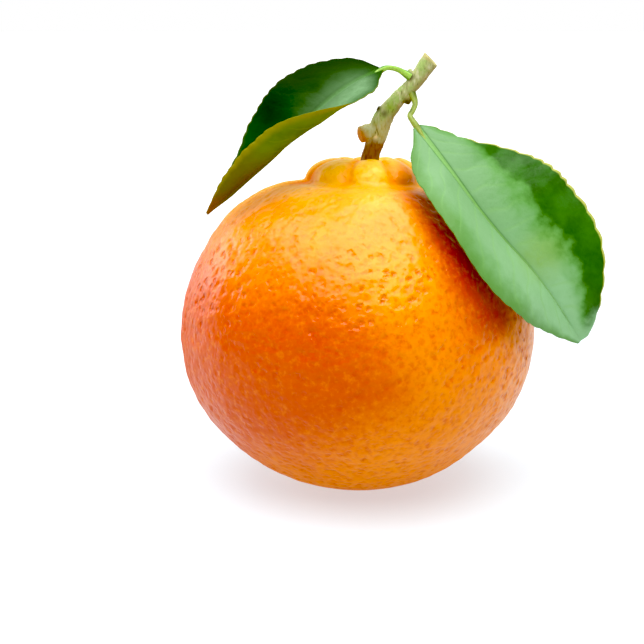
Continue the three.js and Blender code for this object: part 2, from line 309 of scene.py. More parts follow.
def blend(mask, low, high):
    """One colour where the mask is 0 and another where it is 1."""
    colours = [value if isinstance(value, Wire) else paint(value) for value in (low, high)]
    values = {"Factor": mask, "A": colours[0], "B": colours[1]}
    return Wire.node(mask.tree, "ShaderNodeMix", {"data_type": "RGBA"}, values, out="Result")


def new_finish(name):
    """A material with its tree, its shader's inputs and the place on the piece."""
    finish = bpy.data.materials.new(name)
    finish.use_nodes = True
    tree = finish.node_tree
    shader = tree.nodes["Principled BSDF"].inputs
    place = Wire.node(tree, "ShaderNodeTexCoord", {}, {}, out="Object")
    return finish, tree, shader, place


def cells(place, spacing):
    """How far each place is from the nearest of the points scattered that far apart."""
    values = {"Vector": place, "Scale": 1 / (spacing * MM)}
    return Wire.node(place.tree, "ShaderNodeTexVoronoi", {}, values, out="Distance")


def mark(tree, name):
    """The value of a piece's mark."""
    return Wire.node(tree, "ShaderNodeAttribute", {"attribute_name": name}, {}, out="Fac")


def embossed(height, depth, shader):
    """Relief of that depth in metres on the shader's normal."""
    bump = Wire.node(height.tree, "ShaderNodeBump", {}, {"Height": height, "Distance": depth}, out="Normal")
    height.tree.links.new(bump.socket, shader["Normal"])


peel, tree, shader, place = new_finish("mandarin_peel")
height = Wire.node(tree, "ShaderNodeSeparateXYZ", {}, {"Vector": place}, out="Z")
aside = height.out("X")
gland = cells(place, GLAND_SPACING).ramp(0.5, 0.1)
values = {"Vector": place, "Scale": 1 / (PIT_WAVER * MM)}
stray = Wire.node(tree, "ShaderNodeTexNoise", {}, values, out="Color")
strayed = place.vector("ADD", stray.vector("SUBTRACT", (0.5, 0.5, 0.5)).scaled(PIT_WAVER * MM))
pit = cells(strayed, PIT_SPACING).ramp(0.42, 0.06)
patches = place.noise(12 * MM)
mottle = place.noise(1.0 * MM, 4, 0.6)
# Redder and darker toward the lower left: partly the rind's own colour, partly painted shade.
slope = place.vector("DOT_PRODUCT", (0.45, 0, 1), out="Value") + patches * 0.02
rind_tint = blend(slope.ramp(32 * MM, 54 * MM), DEEP_ORANGE, BODY_ORANGE)
# A yellower band down the front, left of the crease: partly the rind's own colour, partly a painted
# highlight carried lower.
bulge = (aside + height * 0.6 + patches * 0.006).ramp(24 * MM, 36 * MM)
bulge = bulge * aside.ramp(20 * MM, 13 * MM)
rind_tint = blend(bulge * height.ramp(8 * MM, 26 * MM), rind_tint, BULGE_ORANGE)
# Yellower toward the top: partly the rind's own colour, partly a painted highlight.
crown = height + patches * 0.01
rind_tint = blend(crown.ramp(45 * MM, 62 * MM), rind_tint, TOP_ORANGE)
rind_tint = blend(crown.ramp(59 * MM, 64 * MM), rind_tint, CROWN_YELLOW)
# A painted highlight: a yellow patch that carries the overhead highlight further down the front.
rind_tint = blend(place.near(HIGHLIGHT_SPOT, 12) * 0.5, rind_tint, CROWN_YELLOW)
# Yellower toward the lower right: partly the rind's own colour, partly painted light bounced up from the
# table.
low = place.vector("DOT_PRODUCT", (0.55, 0, -0.8), out="Value") + patches * 0.012
rind_tint = blend(low.ramp(-18 * MM, 0), rind_tint, LOW_YELLOW_AND_BOUNCE)
# The neck's lobes yellower: partly the rind's own colour, partly a painted highlight.
rind_tint = blend(height.ramp(58.5 * MM, 61 * MM), rind_tint, LOBE_YELLOW)
# Painted shade: the neck's furrows darker orange.
rind_tint = blend(mark(tree, "furrow").ramp(0.15, 0.9), rind_tint, FURROW_SHADE_ORANGE)
# Painted light: the neck's left lobe made lighter where it faces away from the lamps.
rind_tint = blend(place.near(LEFT_LOBE_LIT_SPOT, 6) * 0.6, rind_tint, NECK_LIT_ORANGE)
# Painted shade: darker red at the neck's left edge and on the right lobe under the leaf.
for spot, reach in NECK_SHADE_SPOTS:
    rind_tint = blend(place.near(spot, reach) * 0.8, rind_tint, NECK_SHADE_RED)
# Painted shadow: the leaf's shadow as dark red on the rind right of the crease, under the leaf's edge.
for spot, reach in LEAF_SHADOW_SPOTS:
    rind_tint = blend(place.near(spot, reach) * 0.85, rind_tint, LEAF_SHADOW_RED)
rind_tint = blend(mottle.ramp(0.5, 0.7) * 0.28, rind_tint, TOP_ORANGE)
on_crown = crown.ramp(50 * MM, 60 * MM)
rind_tint = blend(mottle.ramp(0.5, 0.3) * 0.4 * (1 - on_crown * 0.5), rind_tint, PORE_RED)
coarse = sum(place.near(spot, reach) * strength for spot, reach, strength in COARSE_SPOTS)
plain = 1 - on_crown * 0.7
rind_tint = blend(mark(tree, "dimple") * (0.25 + coarse * 0.2) * plain, rind_tint, PORE_RED)
rind_tint = blend((pit * (0.35 + coarse * 0.3) + gland * 0.2) * plain, rind_tint, PORE_RED)
tree.links.new(rind_tint.socket, shader["Base Color"])
dull = sum(place.near(spot, reach) * strength for spot, reach, strength in DULL_SPOTS)
dull = dull + mark(tree, "furrow") * 0.2 + height.ramp(16 * MM, 4 * MM) * 0.3
tree.links.new((0.24 + mottle * 0.14 + dull).socket, shader["Roughness"])
shader["Specular IOR Level"].default_value = 0.5
shader["Specular Tint"].default_value = (1.0, 0.92, 0.8, 1)
shader["Subsurface Weight"].default_value = 0.2
shader["Subsurface Radius"].default_value = (1.0, 0.25, 0.02)
shader["Subsurface Scale"].default_value = 1.5 * MM
relief = place.noise(0.7 * MM, 3) * 0.25 + place.noise(1.7 * MM, 1) * 0.7 - gland * 0.3
relief = relief - pit * (0.6 + coarse * 1.2)
embossed(relief, 0.16 * MM, shader)


def new_tree(name, inputs):
    """A geometry tree with a geometry input and output, and an input for each named size."""
    tree = bpy.data.node_groups.new(name, "GeometryNodeTree")
    tree.interface.new_socket("Geometry", in_out="INPUT", socket_type="NodeSocketGeometry")
    for label, kind in inputs.items():
        tree.interface.new_socket(label, in_out="INPUT", socket_type="NodeSocket" + kind)
    tree.interface.new_socket("Geometry", in_out="OUTPUT", socket_type="NodeSocketGeometry")
    return tree, Wire.node(tree, "NodeGroupInput", {}, {}, out="Geometry")


def close_tree(shape, finish):
    """Ends a geometry tree: real faces, their finish, and the output."""
    real = Wire.node(shape.tree, "GeometryNodeRealizeInstances", {}, {"Geometry": shape})
    dressed = Wire.node(shape.tree, "GeometryNodeSetMaterial", {}, {"Geometry": real, "Material": finish})
    Wire.node(shape.tree, "NodeGroupOutput", {}, {"Geometry": dressed})


def stored(shape, name, value):
    """The shape with a value kept at each point under a name, and that value."""
    settings = {"data_type": "FLOAT", "domain": "POINT"}
    values = {"Geometry": shape, "Name": name, "Value": value}
    kept = Wire.node(shape.tree, "GeometryNodeStoreNamedAttribute", settings, values)
    return kept, read(shape.tree, name)


def read(tree, name):
    """The value kept at each point under a name."""
    settings = {"data_type": "FLOAT"}
    return Wire.node(tree, "GeometryNodeInputNamedAttribute", settings, {"Name": name}, out="Attribute")


def pushed(shape, amount):
    """The shape moved outwards by an amount at each point."""
    outwards = Wire.node(shape.tree, "GeometryNodeInputNormal", {}, {}).scaled(amount)
    return Wire.node(shape.tree, "GeometryNodeSetPosition", {}, {"Geometry": shape, "Offset": outwards})


def settle(piece, tree=None, sizes=None):
    """Runs a geometry tree with its sizes, and any other modifier, into one plain mesh."""
    if tree:
        grow = piece.modifiers.new(tree.name, "NODES")
        grow.node_group = tree
        for item in tree.interface.items_tree:
            if item.in_out == "INPUT" and item.name in sizes:
                grow[item.identifier] = sizes[item.name]
    graph = bpy.context.evaluated_depsgraph_get()
    plain = bpy.data.meshes.new_from_object(
        piece.evaluated_get(graph), preserve_all_data_layers=True, depsgraph=graph
    )
    rough = piece.data
    piece.modifiers.clear()
    piece.data = plain
    bpy.data.meshes.remove(rough)


def pits(skin, spacing, width, seed):
    """How deep each point of a skin lies in the uneven pits scattered over it, from 0 to 1."""
    tree = skin.tree
    values = {"Mesh": skin, "Distance Min": spacing, "Density Max": 3 / spacing**2, "Seed": seed}
    spots = Wire.node(tree, "GeometryNodeDistributePointsOnFaces", {"distribute_method": "POISSON"}, values)
    here = Wire.node(tree, "GeometryNodeInputPosition", {}, {})
    values = {"Vector": here, "Scale": 1 / (1.1 * MM)}
    waver = Wire.node(tree, "ShaderNodeTexNoise", {}, values, out="Color")
    uneven = here.vector("ADD", waver.vector("SUBTRACT", (0.5, 0.5, 0.5)).scaled(width * 1.6))
    values = {"Geometry": spots, "Sample Position": uneven}
    nearest = Wire.node(tree, "GeometryNodeSampleNearest", {}, values)
    values = {"Geometry": spots, "Value": here, "Index": nearest}
    centre = Wire.node(tree, "GeometryNodeSampleIndex", {"data_type": "FLOAT_VECTOR"}, values)
    chance = Wire.node(tree, "FunctionNodeRandomValue", {}, {"Min": 0.45, "Max": 1.0}, out="Value")
    values = {"Geometry": spots, "Value": chance, "Index": nearest}
    size = Wire.node(tree, "GeometryNodeSampleIndex", {"data_type": "FLOAT"}, values)
    away = uneven.vector("DISTANCE", centre, out="Value")
    return (away / (width * size)).ramp(1, 0) * size


tree, skin = new_tree(
    "rind_relief",
    {
        "Pore spacing": "Float",
        "Pore width": "Float",
        "Pore depth": "Float",
        "Dimple spacing": "Float",
        "Dimple width": "Float",
        "Dimple depth": "Float",
        "Pebble height": "Float",
        "Seed": "Int",
    },
)
here = Wire.node(tree, "GeometryNodeInputPosition", {}, {})
height = Wire.node(tree, "ShaderNodeSeparateXYZ", {}, {"Vector": here}, out="Z")
pore = pits(skin, skin.out("Pore spacing"), skin.out("Pore width"), skin.out("Seed"))
dimple = pits(skin, skin.out("Dimple spacing"), skin.out("Dimple width"), skin.out("Seed") + 1)
free = height.ramp(0.4 * MM, 4 * MM) * (1 - 0.75 * height.ramp(57 * MM, 60 * MM))
pebble = here.noise(3.4 * MM, 1) - 0.5
shape, pore = stored(skin, "pore", pore)
shape, dimple = stored(shape, "dimple", dimple)
depth = skin.out("Pore depth") * pore + skin.out("Dimple depth") * dimple
shape = pushed(shape, (skin.out("Pebble height") * pebble - depth) * free)
close_tree(shape, peel)
settle(
    rind,
    tree,
    {
        "Pore spacing": 1.15 * MM,
        "Pore width": 0.6 * MM,
        "Pore depth": 0.1 * MM,
        "Dimple spacing": 1.9 * MM,
        "Dimple width": 1.15 * MM,
        "Dimple depth": 0.26 * MM,
        "Pebble height": 0.5 * MM,
        "Seed": 7,
    },
)
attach(rind, "root")
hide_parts("fruit")

# Calyx
# Five small dried sepals at the stalk's foot, grey-green and leathery. They grew between stalk and
# rind, and lie in the hollow of the neck.
SEPAL_COUNT = 5
CALYX_RADIUS = 2.1
SEPAL_REACH = 0.6
CALYX_LAYERS = [(0.55, 60.15), (0.95, 60.35), (1.0, 60.7), (0.97, 61.1), (0.8, 61.3), (0.5, 61.25)]
CALYX_SIDES = 100
SEPAL_GREEN = (118, 122, 52)
SEPAL_BROWN = (110, 82, 40)

turn = np.arange(CALYX_SIDES) / CALYX_SIDES * 2 * math.pi
star = CALYX_RADIUS + SEPAL_REACH * np.cos(SEPAL_COUNT * turn)
east = star * np.cos(turn)
north = star * np.sin(turn)
calyx_rings = [
    np.stack([NECK_SHIFT + spread * east, spread * north, np.full(CALYX_SIDES, level)], -1)
    for spread, level in CALYX_LAYERS
]
calyx_points = np.vstack([[(NECK_SHIFT, 0, 60.15)], *calyx_rings, [(NECK_SHIFT, 0, 61.2)]])
calyx = new_piece("calyx_star", calyx_points, ring_faces(len(CALYX_LAYERS), CALYX_SIDES))

sepals, tree, shader, place = new_finish("dried_sepals")
tint = blend(place.noise(0.9 * MM, 3).ramp(0.35, 0.65), SEPAL_GREEN, SEPAL_BROWN)
tree.links.new(tint.socket, shader["Base Color"])
tree.links.new((0.6 + 0.2 * place.noise(0.5 * MM)).socket, shader["Roughness"])
embossed(place.noise(0.3 * MM, 3), 0.1 * MM, shader)
calyx.data.materials.append(sepals)
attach(calyx, "root")
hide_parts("calyx")

# Twig
# The fruit's woody stalk, cut off at both side shoots: brown below, a knuckle with a cut stub, and
# olive bark above with a leaf scar and a bud at each leaf. It grew out of the calyx.
TWIG_LINE = [
    (2.0, 0.0, 61.0, 1.95),
    (2.1, 0.0, 62.8, 1.7),
    (2.5, 0.0, 64.5, 1.65),
    (3.1, -0.3, 66.2, 1.75),
    (3.6, -0.5, 68.1, 1.95),
    (4.5, -0.9, 70.6, 1.85),
    (5.9, -1.2, 72.6, 1.55),
    (7.9, -1.6, 74.9, 1.4),
    (9.9, -2.0, 76.9, 1.35),
    (11.5, -2.3, 79.1, 1.5),
    (13.1, -2.6, 81.5, 1.65),
]
STUB_LINE = [(3.6, -0.4, 68.0, 1.6), (1.8, -1.0, 67.9, 1.65), (0.1, -1.5, 67.5, 1.5)]
SCAR_LINE = [(4.9, -1.1, 71.2, 0.9), (4.1, -1.3, 72.0, 0.7), (3.4, -1.3, 72.5, 0.35)]
LEFT_BUD_LINE = [(10.5, -2.1, 77.8, 1.2), (9.4, -2.4, 78.5, 0.95), (9.2, -2.4, 79.7, 0.3)]
RIGHT_BUD_LINE = [(8.5, -1.7, 75.2, 1.1), (9.0, -2.2, 74.4, 0.9), (8.8, -2.6, 73.3, 0.4)]
CUT_SLANT = 0.3
TWIG_VOXEL = 0.14
TWIG_TILT = (math.radians(8), math.radians(28), 0)
CRACK_HIGHLIGHT_SPOT = (3.0, -2.35, 67.3)
CUT_SPOT = (-0.5, -1.9, 66.9)
GREEN_SPOT = (11.4, -3.4, 80.6)
LEDGE_SPOT = (5.7, -2.6, 72.7)
LEDGE_SHADOW_SPOT = (4.7, -2.5, 71.5)
# the scar's tip, and painted shade in the creases at the two buds
DARK_SPOTS = (((3.5, -1.6, 72.4), 1.2), ((9.3, -3.4, 78.4), 1.3), ((8.8, -2.9, 73.6), 1.2))

STALK_BROWN = (160, 118, 62)
STALK_RED = (136, 84, 42)
KNUCKLE_TAN = (180, 170, 100)
BARK_OLIVE = (164, 168, 112)
BARK_GREEN = (150, 172, 98)
BARK_GREY = (186, 186, 142)
BARK_SHADE_BROWN = (146, 124, 76)
SCAR_GREEN = (136, 162, 64)
BARK_DARK = (62, 52, 20)
CUT_ORANGE = (188, 118, 10)
CUT_WOOD = (176, 168, 108)
CRACK_HIGHLIGHT = (238, 214, 160)


def limb(line, sides, rings, slant=0.0):
    """Points and faces of a round limb along a line whose fourth number is the radius."""
    line = np.array(line)
    places = evenly(line[:, :3], rings)
    middle = through(line[:, :3], places)
    radius = np.interp(places, np.arange(len(line)), line[:, 3])
    ahead = np.gradient(middle, axis=0)
    ahead /= np.linalg.norm(ahead, axis=1)[:, None]
    across = np.cross(ahead[0], (0.3, 1, 0.2))
    turn = np.arange(sides) / sides * 2 * math.pi
    points = [middle[:1]]
    for i in range(rings):
        across = across - ahead[i] * (across @ ahead[i])
        across /= np.linalg.norm(across)
        round_it = np.cross(ahead[i], across)
        spoke = np.outer(np.cos(turn), across) + np.outer(np.sin(turn), round_it)
        lean = slant * radius[i] * spoke[:, :1] if i == rings - 1 else 0
        points.append(middle[i] + radius[i] * spoke - lean * ahead[i])
    points.append(middle[-1:])
    return np.vstack(points), ring_faces(rings, sides)


def grown_together(limbs):
    """Limbs put into one list of points and faces."""
    points = []
    faces = []
    for limb_points, limb_faces in limbs:
        start = sum(len(done) for done in points)
        points.append(limb_points)
        faces += [tuple(start + corner for corner in face) for face in limb_faces]
    return np.vstack(points), faces


twig_limbs = [
    limb(TWIG_LINE, 40, 90, CUT_SLANT),
    limb(STUB_LINE, 32, 14),
    limb(SCAR_LINE, 20, 10),
    limb(LEFT_BUD_LINE, 24, 12),
    limb(RIGHT_BUD_LINE, 24, 12),
]
twig = new_piece("bark_twig", *grown_together(twig_limbs))
fuse = twig.modifiers.new("fuse", "REMESH")
fuse.mode = "VOXEL"
fuse.voxel_size = TWIG_VOXEL * MM
fuse.use_smooth_shade = True
settle(twig)

bark, tree, shader, place = new_finish("citrus_bark")
height = Wire.node(tree, "ShaderNodeSeparateXYZ", {}, {"Vector": place}, out="Z")
settings = {"Vector": place, "Rotation": TWIG_TILT, "Scale": (1, 1, 0.3)}
grain = Wire.node(tree, "ShaderNodeMapping", {}, settings)
streak = grain.noise(0.5 * MM, 4, 0.6)
patch = place.noise(1.8 * MM, 3)
wood = blend(streak.ramp(0.38, 0.62), STALK_RED, STALK_BROWN)
skin_tone = blend(patch.ramp(0.4, 0.62), BARK_OLIVE, BARK_GREEN)
skin_tone = blend(streak.ramp(0.5, 0.68), skin_tone, BARK_GREY)
knuckle = blend(streak.ramp(0.35, 0.6), KNUCKLE_TAN, BARK_GREY)
tint = blend((height + patch * 0.002).ramp(66.6 * MM, 68 * MM), wood, knuckle)
tint = blend((height + patch * 0.003).ramp(70.5 * MM, 73.5 * MM), tint, skin_tone)
# Painted shade: browner and darker down the twig's right-hand underside.
shaded_side = place.vector("DOT_PRODUCT", (0.77, 0, -0.63), out="Value") + patch * 0.0006
tint = blend(shaded_side.ramp(-40.7 * MM, -39.2 * MM) * height.ramp(68 * MM, 72 * MM) * 0.8, tint, BARK_SHADE_BROWN)
tint = blend(place.near(LEDGE_SPOT, 1.6), tint, SCAR_GREEN)
# Painted shadow: dark under the leaf scar's ledge.
tint = blend(place.near(LEDGE_SHADOW_SPOT, 1.1) * 0.7, tint, BARK_DARK)
tint = blend(streak.ramp(0.4, 0.3) * 0.6, tint, BARK_DARK)
tint = blend(place.near(CUT_SPOT, 3.0).ramp(0, 0.5), tint, CUT_ORANGE)
# A painted highlight: pale streaks in the crack at the stub's foot.
tint = blend(place.near(CRACK_HIGHLIGHT_SPOT, 0.8) * streak.ramp(0.4, 0.5), tint, CRACK_HIGHLIGHT)
# Dark at the scar's tip, and painted shade in the creases at the two buds.
for spot, reach in DARK_SPOTS:
    tint = blend(place.near(spot, reach), tint, BARK_DARK)
tint = blend(place.near(GREEN_SPOT, 1.6), tint, BARK_GREEN)
tint = blend(mark(tree, "cut"), tint, CUT_WOOD)
tree.links.new(tint.socket, shader["Base Color"])
tree.links.new((0.6 + 0.25 * patch).socket, shader["Roughness"])
embossed(streak, 0.16 * MM, shader)

tree, shape = new_tree(
    "bark_wrinkles", {"Wrinkle height": "Float", "Wrinkles per metre": "Float", "Wrinkle stretch": "Vector"}
)
here = Wire.node(tree, "GeometryNodeInputPosition", {}, {})
settings = {"rotation_type": "EULER_XYZ"}
values = {"Vector": here, "Rotation": TWIG_TILT}
turned = Wire.node(tree, "ShaderNodeVectorRotate", settings, values)
values = {
    "Vector": turned.vector("MULTIPLY", shape.out("Wrinkle stretch")),
    "Scale": shape.out("Wrinkles per metre"),
    "Detail": 3.0,
}
wrinkle = Wire.node(tree, "ShaderNodeTexNoise", {}, values) - 0.5
shape = pushed(shape, shape.out("Wrinkle height") * wrinkle)
close_tree(shape, bark)
sizes = {"Wrinkle height": 0.42 * MM, "Wrinkles per metre": 1100.0, "Wrinkle stretch": (1, 1, 0.3)}
settle(twig, tree, sizes)

top, below = (np.array(TWIG_LINE[k][:3]) for k in (-1, -2))
ahead = (top - below) / np.linalg.norm(top - below)
spots = np.zeros(len(twig.data.vertices) * 3, np.float32)
twig.data.vertices.foreach_get("co", spots)
past = (spots.reshape(-1, 3) / MM - top) @ ahead
cut = twig.data.attributes.new("cut", "FLOAT", "POINT")
cut.data.foreach_set("value", rise(past, -0.55, -0.25).astype(np.float32))
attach(twig, "root")
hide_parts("twig")

# Leaf stalks
# Two thin green stalks, each grooved on top, that carry the blades: the left one lime green, the
# right one an S of yellower green. Each grew out of the bark beside its bud.
LEFT_STALK = [
    (9.3, -2.5, 78.4, 0.9),
    (8.0, -2.8, 79.15, 0.62),
    (7.4, -3.0, 79.5, 0.55),
    (6.3, -3.5, 79.9, 0.5),
    (5.0, -4.0, 80.05, 0.5),
    (4.25, -4.35, 79.85, 0.6),
    (3.2, -4.75, 79.25, 0.42),
    (2.4, -5.1, 78.75, 0.2),
]
RIGHT_STALK = [
    (9.6, -2.2, 75.6, 0.8),
    (10.2, -3.15, 73.95, 0.58),
    (10.25, -3.6, 73.3, 0.5),
    (9.7, -4.9, 72.2, 0.5),
    (9.2, -5.8, 71.4, 0.5),
    (9.7, -6.5, 70.5, 0.55),
    (10.3, -6.85, 69.65, 0.62),
    (11.1, -7.6, 68.35, 0.42),
    (11.9, -8.3, 67.3, 0.2),
]
STALK_RINGS = 110
STALK_SIDES = 28
STALK_RADIUS = 0.5
GROOVE_DEPTH = 0.1
KINK_SPOT = (9.9, -6.2, 71.0)
STALK_LIME = (150, 192, 82)
STALK_SHADE_GREEN = (78, 134, 44)
STALK_YELLOW = (142, 158, 72)
STALK_SHADE = (88, 106, 32)


def stalk_piece(name, line, node, bright, dark, spots):
    """A leaf's stalk with its finish; spots are dark places on it."""
    points, faces = limb(line, STALK_SIDES, STALK_RINGS)
    rings = points[1:-1].reshape(STALK_RINGS, STALK_SIDES, 3)
    crown = (rings[:, :, 2] - rings.mean(axis=1)[:, None, 2]) / STALK_RADIUS
    crown = np.clip(crown, -1, 1)
    groove = np.exp(-(((1 - crown) / 0.25) ** 2))
    rings[:, :, 2] -= GROOVE_DEPTH * groove
    piece = new_piece(name, points, faces, {"crown": [0, *crown.ravel(), 0]})
    finish, tree, shader, place = new_finish(name)
    patch = place.noise(1.5 * MM, 3)
    # Painted shade: darker in the groove on top and on the underside.
    tint = blend((mark(tree, "crown") + patch * 0.5).ramp(0.75, 1.2), bright, dark)
    tint = blend((mark(tree, "crown") + patch * 0.4).ramp(-0.4, -1), tint, dark)
    for spot, reach in spots:
        tint = blend(place.near(spot, reach), tint, BARK_DARK)
    tree.links.new(tint.socket, shader["Base Color"])
    tree.links.new((0.38 + 0.2 * patch).socket, shader["Roughness"])
    embossed(patch, 0.15 * MM, shader)
    piece.data.materials.append(finish)
    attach(piece, "root")
    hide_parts(node)


stalk_piece("left_stalk", LEFT_STALK, "left_petiole", STALK_LIME, STALK_SHADE_GREEN, [])
kink = [(KINK_SPOT, 0.6)]
stalk_piece("right_stalk", RIGHT_STALK, "right_petiole", STALK_YELLOW, STALK_SHADE, kink)

# Leaves
# Two citrus blades, leathery and glossy above, dull olive below, with a sunken midrib, faint side
# veins and blunt teeth along the edge. Each grew on its stalk; the left one folds and twists.
LEFT_BLADE = {
    "midrib": [
        (3.9, -4.5, 79.7),
        (0.0, -6.0, 78.1),
        (-4.4, -7.5, 75.5),
        (-8.3, -8.1, 72.2),
        (-12.35, -8.1, 68.15),
        (-16.35, -7.6, 64.15),
        (-20.75, -7.1, 60.25),
        (-24.8, -7.05, 56.6),
        (-28.2, -8.0, 53.5),
    ],
    # at, right, left, roll, fold, belly of the right half, belly of the left half
    "stations": [
        (0, 0.7, 0.7, 23, 6, 0, 0),
        (0.04, 4.6, 2.6, 23, 6, 0, 0),
        (0.1, 7.1, 5.6, 24, 6, 0.1, 0),
        (0.16, 8.6, 7.0, 22.5, 8.8, 0.2, -0.2),
        (0.23, 9.7, 8.2, 23.2, 13.7, 0.3, -0.8),
        (0.35, 10.6, 8.5, 18.7, 27.5, 0.3, -2.2),
        (0.47, 10.0, 7.5, 15.2, 40.2, 0.2, -2.4),
        (0.59, 8.9, 6.6, 13.4, 45.8, 0, -2.1),
        (0.67, 7.6, 6.0, 8.1, 48.5, 0, -1.7),
        (0.75, 5.6, 5.0, 0.9, 46.8, 0, -1.3),
        (0.88, 3.3, 3.4, -5.9, 42.1, 0, -0.6),
        (0.94, 1.8, 2.2, -11.0, 40.3, 0, 0),
        (1, 0.4, 0.4, -14, 38, 0, 0),
    ],
    "teeth": 20,
    "right_tooth": 0.28,
    "left_tooth": 0.28,
    "waves": 2.5,
}
RIGHT_BLADE = {
    "midrib": [
        (10.4, -7.0, 69.5),
        (13.6, -9.5, 65.5),
        (17.1, -12.0, 60.9),
        (21.2, -14.0, 55.4),
        (25.8, -15.0, 50.0),
        (30.8, -15.0, 44.7),
        (35.3, -14.2, 39.0),
        (38.7, -13.2, 34.0),
        (41.1, -12.2, 30.6),
    ],
    "stations": [
        (0, 0.8, 0.8, -38, 2, 0, 0),
        (0.04, 2.2, 2.7, -38, 2, 0, 0),
        (0.1, 5.0, 4.6, -37, 3, 0.2, 0),
        (0.16, 6.5, 7.4, -33, 4, 0.3, 0.2),
        (0.22, 7.7, 11.5, -28, 6, 0.5, 0.5),
        (0.28, 8.7, 14.6, -28, 8, 0.6, 0.8),
        (0.34, 9.5, 16.5, -31, 10, 0.8, 1.1),
        (0.47, 11.0, 17.8, -40, 12, 1, 1.4),
        (0.61, 11.5, 17.2, -52, 12, 0.9, 1.3),
        (0.75, 9.3, 14.3, -66, 14, 0.5, 0.9),
        (0.82, 7.0, 11.2, -75, 15, 0.3, 0.6),
        (0.88, 4.9, 8.2, -84, 16, 0.2, 0.4),
        (0.94, 2.9, 5.4, -92, 16, 0, 0.2),
        (1, 1.0, 1.6, -96, 16, 0, 0),
    ],
    "teeth": 18,
    "right_tooth": 0.2,
    "left_tooth": 0.42,
    "waves": 3,
}
BLADE_ROWS = 216
HALF_COLUMNS = 40
BLADE_THICKNESS = 0.42
WAVE_HEIGHT = 0.25


def between_stations(places, values, at):
    """The smooth value at each place between the stations."""
    places = np.array(places, float)
    values = np.array(values, float)
    one = np.clip(np.searchsorted(places, at, side="right"), 1, len(places) - 1)
    zero = one - 1
    start, end = places[zero], places[one]
    before = np.where(zero > 0, zero - 1, one)
    after = np.where(one < len(places) - 1, one + 1, zero)
    half = (end - start) / 2
    pull = half / (start - places[before])
    push = half / (places[after] - end)
    pull = np.where(zero > 0, pull, half / (start - end))
    push = np.where(one < len(places) - 1, push, half / (start - end))
    p = (at - start) / (end - start)
    weight_before = -pull * p**3 + 2 * pull * p**2 - pull * p
    weight_zero = (1 + pull) * p**3 + (-1.5 - 2 * pull) * p**2 + (-0.5 + pull) * p + 1
    weight_one = (-1 - push) * p**3 + (1.5 + push) * p**2 + 0.5 * p
    weight_after = push * p**3 - push * p**2
    return (
        weight_before * values[before]
        + weight_zero * values[zero]
        + weight_one * values[one]
        + weight_after * values[after]
    )


def blade_piece(name, blade):
    """A closed leaf blade: its middle surface made thick both ways, thinner towards the edge."""
    at = np.linspace(0, 1, BLADE_ROWS + 1)
    midrib = np.array(blade["midrib"])
    places = evenly(midrib, BLADE_ROWS + 1)
    middle = through(midrib, places)
    ahead = np.gradient(middle, axis=0)
    ahead /= np.linalg.norm(ahead, axis=1)[:, None]
    flat = np.cross(ahead, (0, 0, 1))
    flat /= np.linalg.norm(flat, axis=1)[:, None]
    above = np.cross(flat, ahead)
    stations = np.array(blade["stations"], float)
    right, left, roll, fold, right_belly, left_belly = (
        between_stations(stations[:, 0], stations[:, k], at) for k in range(1, 7)
    )
    tooth = np.interp(at * blade["teeth"] % 1, (0, 1 / 3, 2 / 3, 1), (0, 0.75, 1, 0))
    strip = np.linspace(-1, 1, 2 * HALF_COLUMNS + 1)
    across = np.sign(strip) * np.abs(strip) ** 1.15
    surface = np.zeros((BLADE_ROWS + 1, len(across), 3))
    reach = np.zeros((BLADE_ROWS + 1, len(across)))
    for j, place in enumerate(across):
        side = -1 if place < 0 else 1
        v = abs(place)
        width = right if side > 0 else left
        bite = tooth * (blade["right_tooth"] if side > 0 else blade["left_tooth"])
        belly = right_belly if side > 0 else left_belly
        lift = np.radians(fold + side * roll)[:, None]
        outward = side * np.cos(lift) * flat + np.sin(lift) * above
        upper = -side * np.sin(lift) * flat + np.cos(lift) * above
        out = width * v + bite * np.minimum(1, width / 4) * v**8
        wave = WAVE_HEIGHT * np.sin(2 * math.pi * blade["waves"] * at + side) * np.sin(math.pi * at)
        raise_by = belly * 4 * v * (1 - v) + wave * v**2
        surface[:, j] = middle + outward * out[:, None] + upper * raise_by[:, None]
        reach[:, j] = out
    normal = np.cross(np.gradient(surface, axis=1), np.gradient(surface, axis=0))
    normal /= np.linalg.norm(normal, axis=2)[..., None]
    half = BLADE_THICKNESS / 2 * (1 - 0.75 * np.abs(across) ** 10)[None, :, None]
    top = (surface + normal * half).reshape(-1, 3)
    under = (surface - normal * half).reshape(-1, 3)
    rows, columns = surface.shape[:2]
    number = np.arange(rows * columns).reshape(rows, columns)
    a, b, c, d = number[:-1, :-1], number[:-1, 1:], number[1:, 1:], number[1:, :-1]
    faces = np.stack([a, b, c, d], -1).reshape(-1, 4)
    lower = np.stack([d, c, b, a], -1).reshape(-1, 4) + rows * columns
    rim = np.concatenate([number[0, :], number[1:, -1], number[-1, -2::-1], number[-2:0:-1, 0]])
    rim_next = np.roll(rim, -1)
    edge = np.stack([rim_next, rim, rim + rows * columns, rim_next + rows * columns], -1)
    marks = {
        "along": np.tile(np.repeat(at, columns), 2),
        "across": np.tile(across, 2 * rows),
        "reach": np.tile(reach.ravel(), 2) * MM,
        "topside": np.repeat((1.0, 0.0), rows * columns),
    }
    return new_piece(name, np.vstack([top, under]), np.vstack([faces, lower, edge]).tolist(), marks)


